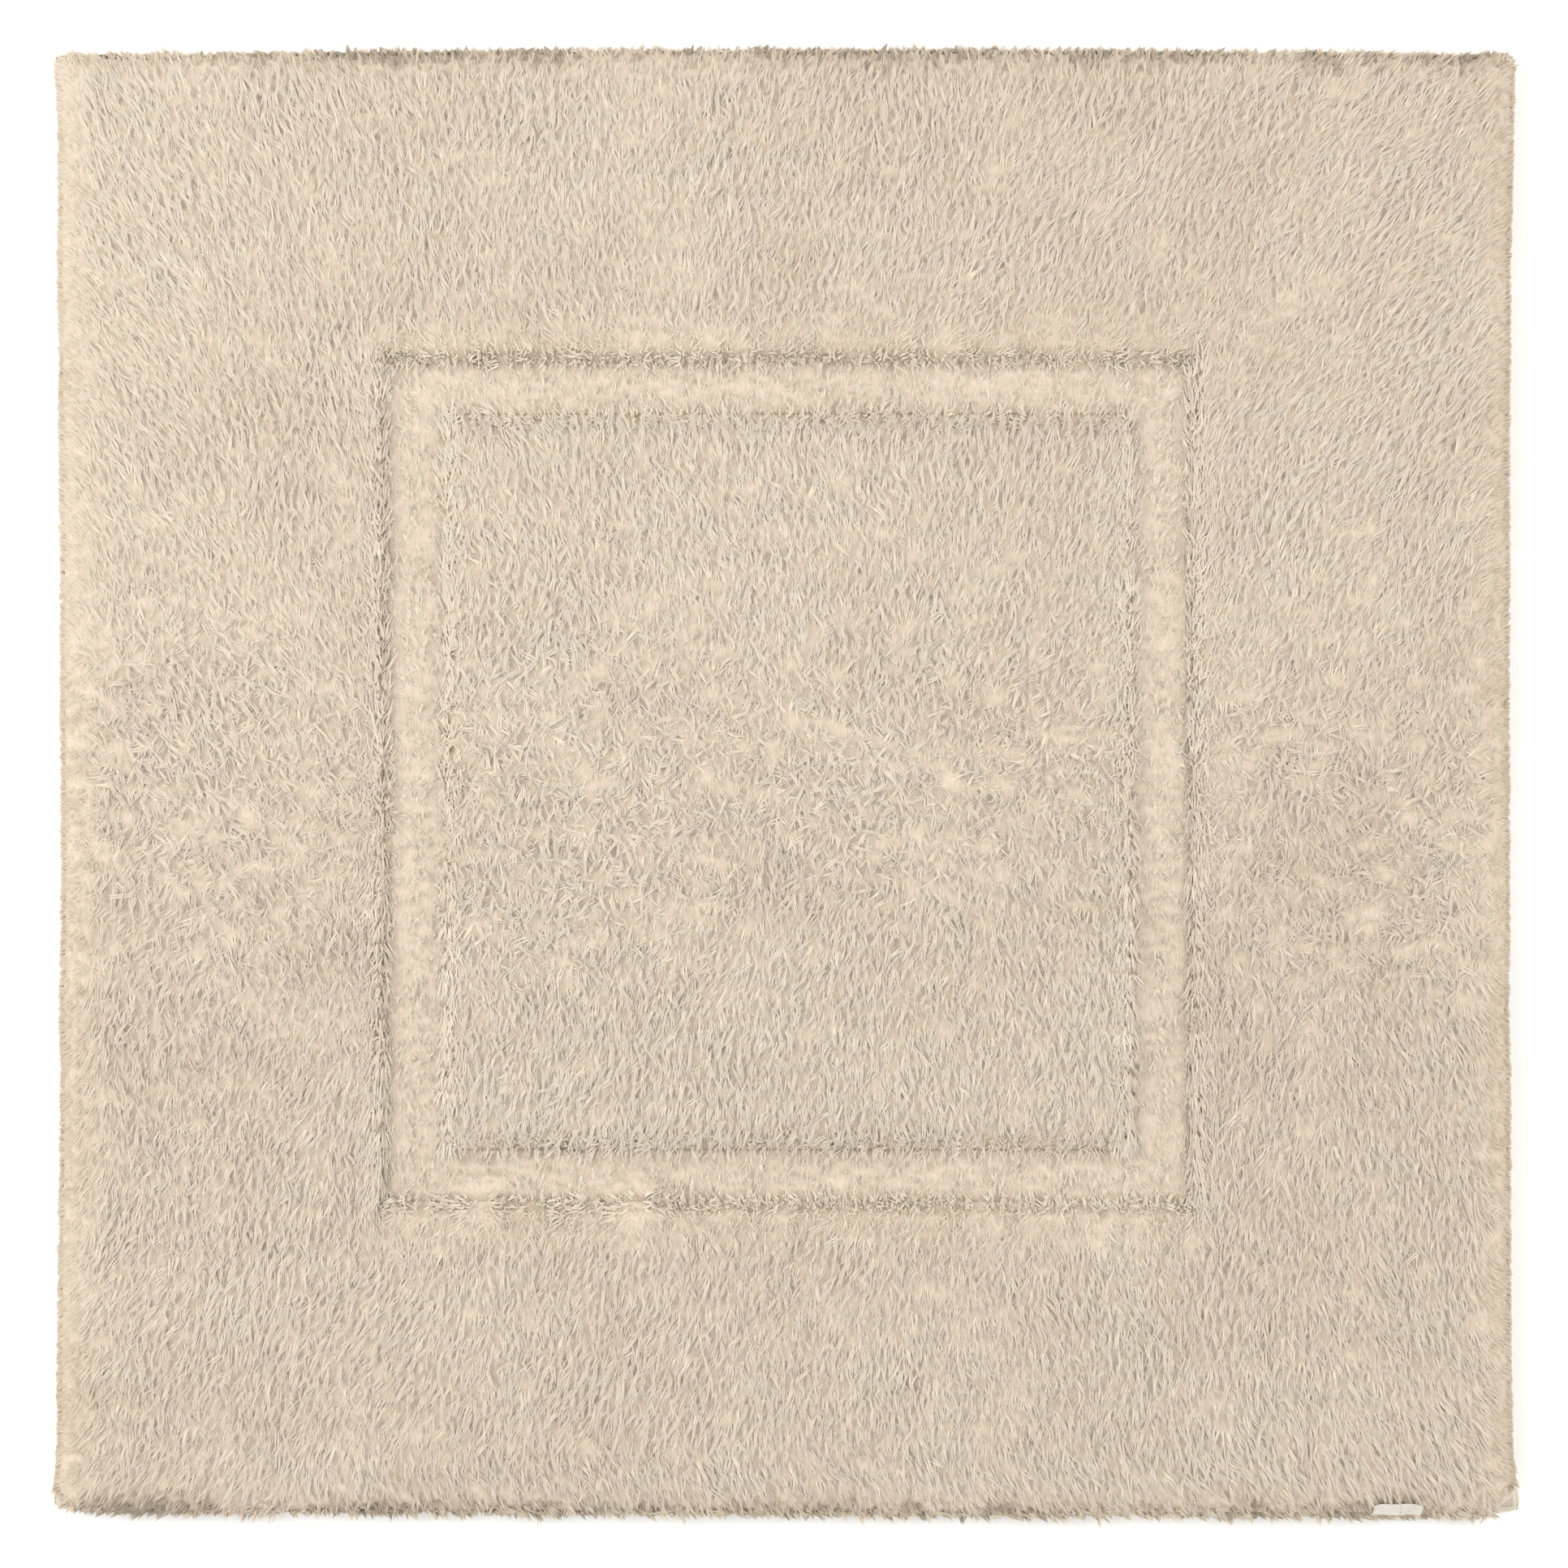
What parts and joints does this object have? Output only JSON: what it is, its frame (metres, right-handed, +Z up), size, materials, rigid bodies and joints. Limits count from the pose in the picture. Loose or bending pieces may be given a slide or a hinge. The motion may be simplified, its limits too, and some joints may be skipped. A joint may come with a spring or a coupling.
{
  "type": "bath mat",
  "caption": "Square tufted cotton bath mat with deep cut pile, a low-pile sunken frame inset from the edge, turned-under stitched hems and a latex-coated back.",
  "frame": {"origin": "middle of the mat's underside, on the surface it lies on", "axes": "+Z up out of the pile; +Y towards the back edge; +X to the right, with the label at the front right"},
  "size_m": [0.6, 0.6, 0.02],
  "materials": {
    "high_pile": "soft cut cotton pile, matt",
    "low_pile": "short upright cotton pile, matt",
    "cloth": "plain-woven cotton, matt",
    "thread": "spun polyester sewing thread",
    "label": "white woven tape, slight satin sheen",
    "latex": "cured latex coat, matt"
  },
  "bodies": {
    "root": {"backing_cloth": "cloth", "latex_coat": "latex", "hem_front": "cloth", "hem_right": "cloth", "hem_back": "cloth", "hem_left": "cloth", "hem_stitch_front": "thread", "hem_stitch_right": "thread", "hem_stitch_back": "thread", "hem_stitch_left": "thread", "care_label": "label", "border_pile_front": "high_pile", "border_pile_right": "high_pile", "border_pile_back": "high_pile", "border_pile_left": "high_pile", "frame_pile_front": "low_pile", "frame_pile_right": "low_pile", "frame_pile_back": "low_pile", "frame_pile_left": "low_pile", "centre_pile": "high_pile"}
  },
  "joints": []
}
